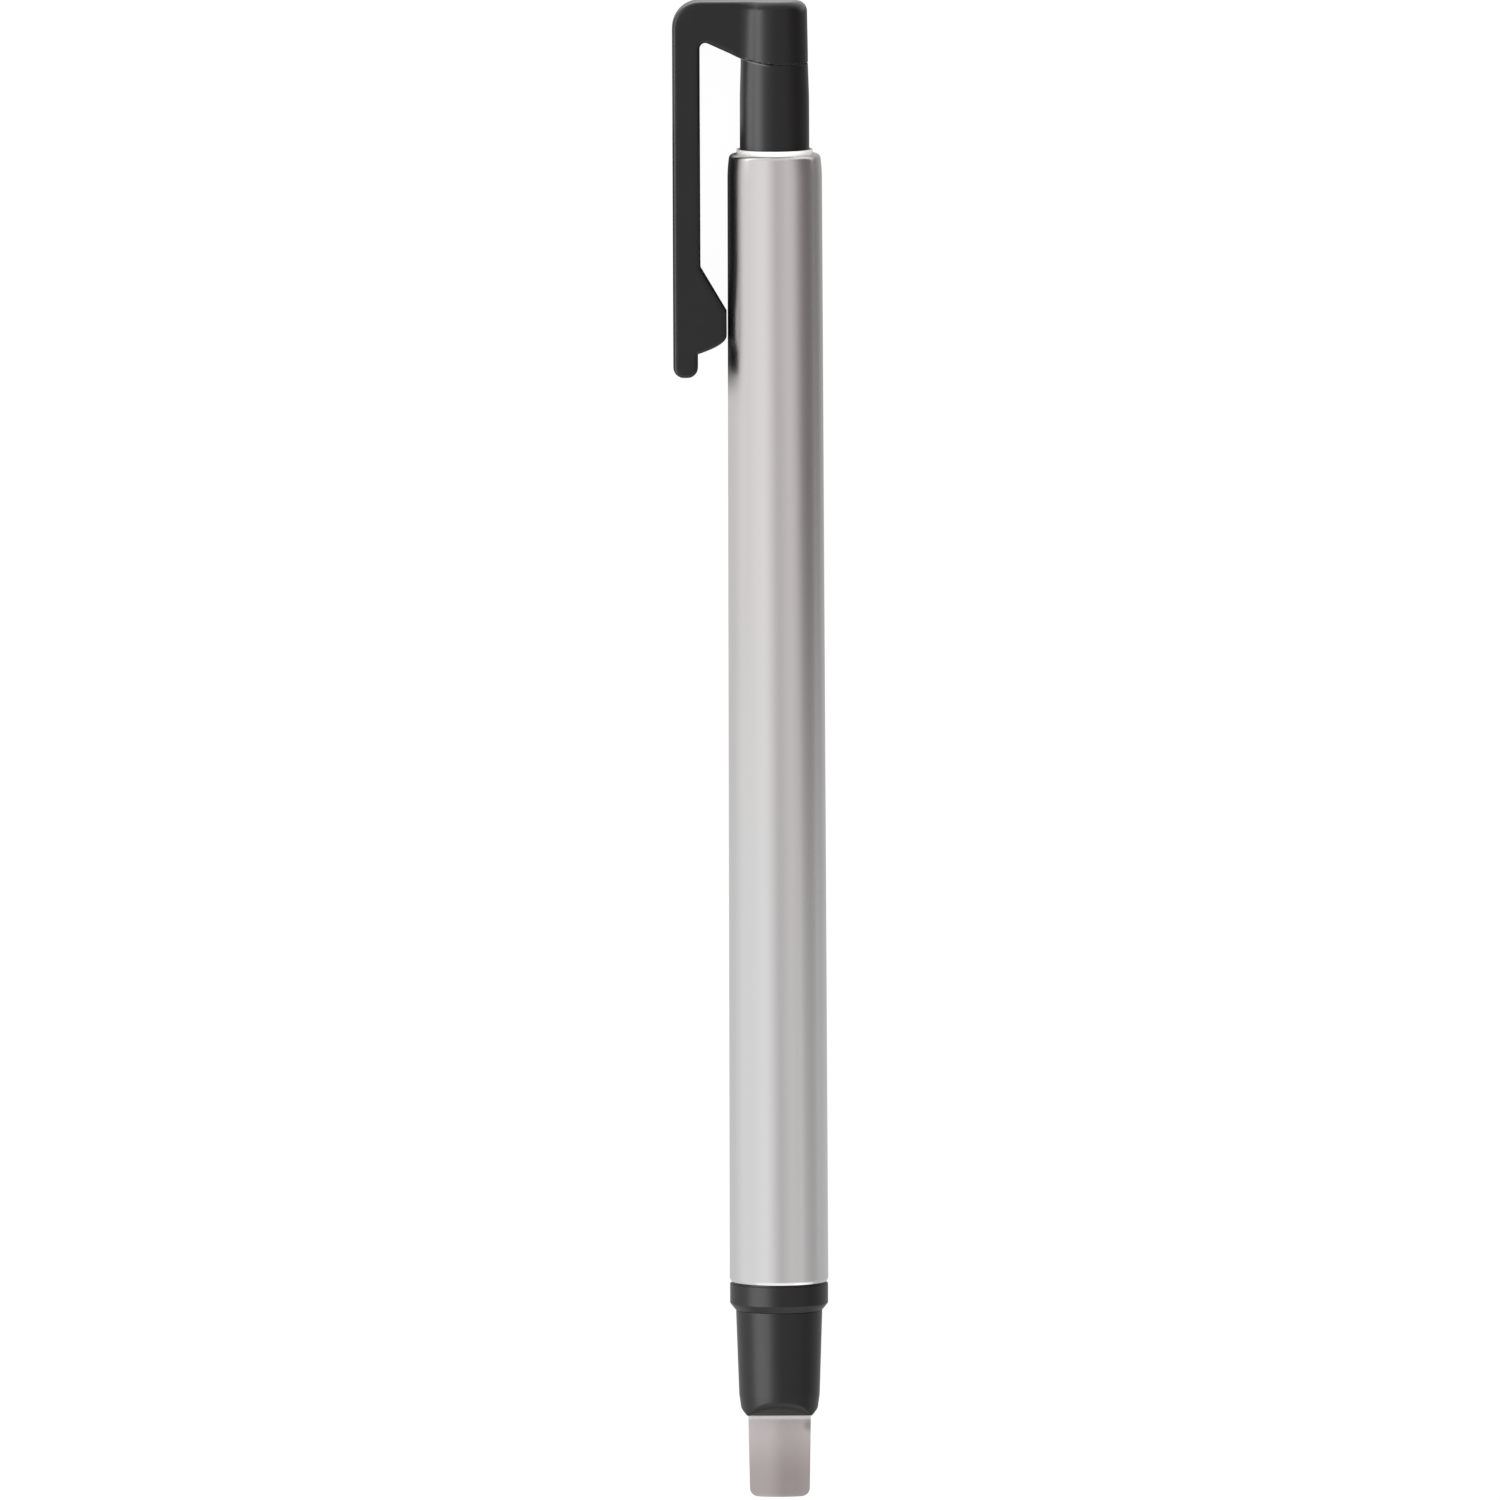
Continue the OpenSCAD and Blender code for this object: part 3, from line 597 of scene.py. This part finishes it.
def clip_distance(s, y, z):
    """Signed distance to the clip moulding's surface."""
    a, z = -y, abs(z)
    cap_r = CAP_R + (CAP_TOP_R - CAP_R) * smooth(s, 115, LENGTH)
    web_z = CLIP_HALF_W + WEB_R
    web_a = np.sqrt((cap_r + WEB_R) ** 2 - web_z ** 2)
    cap = np.hypot(a, z) - cap_r
    bridge = np.maximum(z - CLIP_HALF_W, -a)
    web = np.maximum(WEB_R - np.hypot(a - web_a, z - web_z),
                     np.maximum((z * web_a - a * web_z) / (cap_r + WEB_R), a - web_a))
    across = np.minimum(np.minimum(cap, bridge), web)
    low_edge = 0.03 + 0.32 * smooth(a, 2.75, 3.7)
    top_edge = 0.35 + 0.5 * smooth(a, 3.5, 1.5)
    edge = low_edge + (top_edge - low_edge) * smooth(s, 116.2, 117.6)
    body = soft_max(outline_distance(a, s, clip_outline), across, edge)
    plug = np.maximum(abs(np.hypot(a, z) - (PLUG_R + PLUG_BORE_R) / 2)
                      - (PLUG_R - PLUG_BORE_R) / 2,
                      np.maximum(PLUG_END - s, s - CAP_EDGE - 0.6))
    return np.minimum(body, plug)


def carved(distance, low, high, cell):
    """Points and faces of the surface where a distance is zero, found on a grid of cells.

    The grid's own points are drawn onto the surface, in sweeps that also even out their spacing.
    """
    x, y, z = (np.arange(a, b, cell) for a, b in zip(low, high))
    inside = distance(x[:, None, None], y[None, :, None], z[None, None, :]) < 0
    count = sum(inside[i:len(x) - 1 + i, j:len(y) - 1 + j, k:len(z) - 1 + k].astype(int)
                for i in (0, 1) for j in (0, 1) for k in (0, 1))
    mixed = (count > 0) & (count < 8)
    number = np.full(mixed.shape, -1)
    number[mixed] = np.arange(mixed.sum())
    points = np.argwhere(mixed) * cell + np.array(low) + cell / 2
    faces = []
    for axis in range(3):
        u, v = (axis + 1) % 3, (axis + 2) % 3
        size = inside.shape[axis] - 1
        first, second = inside.take(range(size), axis), inside.take(range(1, size + 1), axis)
        spot = np.argwhere(first != second)
        step = np.eye(3, dtype=int)
        loop = [number[tuple((spot - i * step[u] - j * step[v]).T)]
                for i, j in ((1, 1), (0, 1), (0, 0), (1, 0))]
        faces.append(np.stack(loop, 1))
    faces = np.vstack(faces)
    joins = np.vstack([faces[:, [0, 1]], faces[:, [1, 2]], faces[:, [2, 3]], faces[:, [3, 0]]])
    joins = np.vstack([joins, joins[:, ::-1]])
    degree = np.bincount(joins[:, 0], minlength=len(points))[:, None]
    for sweep in range(7):
        if sweep in (1, 3):
            pulled = np.zeros_like(points)
            np.add.at(pulled, joins[:, 0], points[joins[:, 1]])
            points = (points + pulled / degree) / 2
        for _ in range(2):
            here = distance(*points.T)
            slope = np.stack([distance(*(points + d).T) - distance(*(points - d).T)
                              for d in np.eye(3) * PROBE], 1) / (2 * PROBE)
            slope_size = np.maximum((slope ** 2).sum(1), 0.2)
            points = points - np.clip(here / slope_size, -cell, cell)[:, None] * slope
    return points, faces.tolist()


clip_shape = carved(clip_distance, (ARM_END - 0.5, -CLIP_OUTER - 0.5, -3.1),
                    (LENGTH + 0.5, 3.2, 3.1), CELL)
clip = made_piece("clip_moulding", clip_shape,
                  black_plastic, ["clip_cap", "clip_arm"])
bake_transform(clip)

# Return spring: steel wire wound to eleven turns, standing on its seat in the collar. The
# holder of the jaws presses on it, and it shortens by the button's 3 mm of travel.
SPRING_FRONT, SPRING_REAR = 29.0, 41.95
SPRING_R, WIRE_R, TURNS = 3.105, 0.15, 11
WIRE_STEPS, WIRE_SIDES = 40, 10

steel = Finish("drawn_steel")
drawn_lines = steel.grain(0.12, stretch=5, detail=3)
spring_steel = steel.surface(
    Metallic=1.0,
    Base_Color=steel.blended(drawn_lines, (0.50, 0.50, 0.52), (0.62, 0.63, 0.65)),
    Roughness=0.24 + drawn_lines * 0.12,
    Normal=steel.bump(drawn_lines, 0.002))

sides = np.linspace(0, 2 * np.pi, WIRE_SIDES, endpoint=False)
out = SPRING_R + WIRE_R * np.cos(sides)
wire_rings = []
for k in range(TURNS * WIRE_STEPS + 1):
    turn = 2 * math.pi * k / WIRE_STEPS
    rise = (SPRING_REAR - SPRING_FRONT - 2 * WIRE_R) * k / (TURNS * WIRE_STEPS)
    wire_rings.append(np.stack([SPRING_REAR - WIRE_R - rise + WIRE_R * np.sin(sides),
                                out * math.cos(turn), out * math.sin(turn)], 1))
spring = made_piece("spring", skin(wire_rings, False), spring_steel,
                    ["return_spring"], "barrel")
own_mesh(spring)

# Works inside the barrel: moulded jaws, holder and refill tube, a turned brass ring, a steel
# seat and two rubber pads. Their CAD shapes are right, so they only get their materials.
turned_brass = Finish("turned_brass")
tool_marks = turned_brass.grain(0.06, stretch=0.3, detail=2)
brass = turned_brass.surface(
    Metallic=1.0,
    Base_Color=turned_brass.blended(tool_marks, (0.72, 0.53, 0.22), (0.80, 0.62, 0.30)),
    Roughness=0.22 + tool_marks * 0.15,
    Normal=turned_brass.bump(tool_marks, 0.002))

padding = Finish("black_pad")
nap = padding.grain(0.2, detail=3)
pad_rubber = padding.surface(
    Base_Color=padding.blended(nap, (0.095, 0.092, 0.09), (0.14, 0.135, 0.13)),
    Roughness=0.75 + nap * 0.12,
    Normal=padding.bump(nap, 0.008))

works = [("pad_rubber", pad_rubber, ["mouth_retainer"]),
         ("spring_steel", spring_steel, ["spring_seat"]),
         ("brass", brass, ["chuck_ring"]),
         ("white_plastic", white_plastic,
          ["chuck_jaw_upper", "chuck_jaw_lower", "chuck_holder", "refill_tube"])]
for slot, finish, names in works:
    for name in names:
        node = frame["nodes"][name]
        node.data.materials.clear()
        node.data.materials.append(finish)

# Stage: a pale floor that keeps the holder's shadow, and a studio sky round it. Seen directly
# both are white. For glossy rays the floor glows in a painted pattern that stands for a studio's
# table with its screens: paler past the button's end, darker on the far side and before the nose.
# A painted shade darkens it beside the holder, and a painted shadow under the clip.
FLOOR_HALF, GLOW = 3, 2.0
SHOWN_GLOW, SHOWN_SHARE = 0.56, 0.86
CLIP_SHADE = {"button_side": (-0.0505, -0.0485), "tip_side": (-0.0275, -0.0310),
              "outer": (-0.028, -0.006), "inner": (0.002, 0)}
floor_finish = Nodes(bpy.data.materials.new("pale_floor"))
camera_ray, glossy_ray, clear_ray = (
    floor_finish.add("LightPath", out=name)
    for name in ("Is Camera Ray", "Is Glossy Ray", "Is Transmission Ray"))
paper = floor_finish.add("TexCoord", out="Object")
fibre = floor_finish.add("TexNoise", {}, {"Vector": paper, "Scale": 900.0, "Detail": 3.0},
                         out="Fac")
paper_colour = floor_finish.blended(fibre, (0.86, 0.86, 0.86), (0.9, 0.9, 0.9))
lit = floor_finish.add("BsdfDiffuse", {}, {"Color": paper_colour})
lengthwise = floor_finish.along(TIPWARD, paper)
sideways = floor_finish.along((0, 1, 0), paper) - float(BUTTON_END[1])
tip_side = lengthwise.stepped(-0.04, 0.04)
far_side = sideways.stepped(-0.007, 0.023)
# Painted shade beside the holder, in the floor's glow for glossy rays.
beside = abs(sideways).stepped(0.02, 0.002)
# Painted shadow of the clip, in the floor's glow for glossy rays.
under_clip = (lengthwise.stepped(*CLIP_SHADE["tip_side"])
              * lengthwise.stepped(*CLIP_SHADE["button_side"])
              * sideways.stepped(*CLIP_SHADE["outer"]) * sideways.stepped(*CLIP_SHADE["inner"]))
past_button = lengthwise.stepped(-0.0600, -0.0610)
past_nose = lengthwise.stepped(0.054, 0.058) * abs(sideways).stepped(0.014, 0.007)
mirrored = ((0.84 - far_side * (0.61 - tip_side * 0.31)) * (1 - beside * 0.2)
            * (1 - under_clip * 0.95) * (1 - past_nose * 0.7) + past_button * 0.9)
mirror_colour = floor_finish.blended(mirrored / GLOW, (0, 0, 0), (1, 1, 1))
glow = floor_finish.add("Emission", {}, {
    "Color": floor_finish.blended(glossy_ray, (SHOWN_GLOW,) * 3, mirror_colour),
    "Strength": GLOW})
shown = floor_finish.add("MixShader", {}, {
    "Fac": (camera_ray + clear_ray) * SHOWN_SHARE + glossy_ray, 1: lit, 2: glow})
floor_finish.add("OutputMaterial", {}, {"Surface": shown})
corners = [(-1, -1, 0), (1, -1, 0), (1, 1, 0), (-1, 1, 0)]
floor_mesh = bpy.data.meshes.new("floor")
floor_mesh.from_pydata((np.array(corners) * FLOOR_HALF).tolist(), [], [(0, 1, 2, 3)])
floor_mesh.materials.append(bpy.data.materials["pale_floor"])
floor = bpy.data.objects.new("floor", floor_mesh)
bpy.context.scene.collection.objects.link(floor)

# The sky's stops: degrees round the holder's axis from straight above, level, and how pink.
SKY = [(-75, 0.82, 0), (-50, 0.86, 0), (-30, 0.90, 0), (-22, 0.87, 0), (-9, 0.70, 0.3),
       (4, 0.50, 0.6), (15, 0.58, 0.8), (28, 0.66, 1), (40, 0.67, 1), (48, 0.57, 1),
       (57, 0.37, 1.5), (68, 0.22, 2), (84, 0.145, 2.2), (98, 0.18, 2), (107, 0.25, 1.8)]
PINK = 0.035
TIP_SKY, BUTTON_SKY = 1.15, 0.75
END_FROM, END_TO = 0.45, 0.85

world = bpy.data.worlds.new("studio")
bpy.context.scene.world = world
sky = Nodes(world)
ray_from = sky.add("TexCoord", out="Generated")
round_axis = sky.add("Math", {"operation": "ARCTAN2"},
                     {0: sky.along(ACROSS, ray_from), 1: sky.along(UPWARD, ray_from)})
stops = [(0.5 + turn / 360, (level, level * (1 - PINK * pink), level * (1 - PINK * pink)))
         for turn, level, pink in SKY]
sky_level = sky.add("ValToRGB", {"stops": stops},
                    {"Fac": round_axis / (2 * math.pi) + 0.5}, out="Color")
endward = sky.along(TIPWARD, ray_from)
sky_colour = sky.blended(endward.stepped(END_FROM, END_TO), sky_level, (TIP_SKY,) * 3)
sky_colour = sky.blended(endward.stepped(-END_FROM, -END_TO), sky_colour, (BUTTON_SKY,) * 3)
seen = sky.add("LightPath", out="Is Camera Ray")
background = sky.add("Background", {}, {"Color": sky.blended(seen, sky_colour, (1, 1, 1)),
                                        "Strength": 1.0})
sky.add("OutputWorld", {}, {"Surface": background})


def softbox(name, round_angle, distance, width, length, strength, station=60):
    """An area lamp at an angle round the holder's axis from straight above, in degrees."""
    lamp = bpy.data.lights.new(name, "AREA")
    lamp.shape, lamp.size, lamp.size_y = "RECTANGLE", width, length
    lamp.energy = strength * math.pi * width * length
    box = bpy.data.objects.new(name, lamp)
    turn = math.radians(round_angle)
    outward = math.cos(turn) * UPWARD + math.sin(turn) * ACROSS
    spot = placed([station, 0, 0]) + outward * distance
    sideways = np.cross(TIPWARD, outward)
    facing_in = Matrix([sideways, TIPWARD, outward]).transposed().to_4x4()
    box.matrix_world = Matrix.Translation(Vector(spot)) @ facing_in
    box.visible_camera = False
    bpy.context.scene.collection.objects.link(box)
    return box


# A card beside the nose lights everything a little. The other lamps stand for the softboxes whose
# gloss shows on the black pieces and the bush, and the tube card for the pale inside of the clip.
softbox("right_card", 84, 0.25, 0.34, 0.5, 0.30, station=-214)
for lamp, pieces in [
        (softbox("front_softbox", -53, 0.7, 0.78, 0.9, 2.6), [collar, nose]),
        (softbox("rear_softbox", -69, 0.7, 0.66, 0.9, 3.7), [button_tube, clip]),
        (softbox("tube_card", -69, 0.0049, 0.0017, 0.0075, 2.5, station=111.6), [button_tube]),
        (softbox("bush_softbox", 5, 0.7, 1.8, 0.9, 1.7), [bush])]:
    chosen = bpy.data.collections.new(lamp.name + "_pieces")
    for piece in pieces:
        chosen.objects.link(piece)
    lamp.light_linking.receiver_collection = chosen

bpy.context.scene.view_settings.view_transform = "Standard"
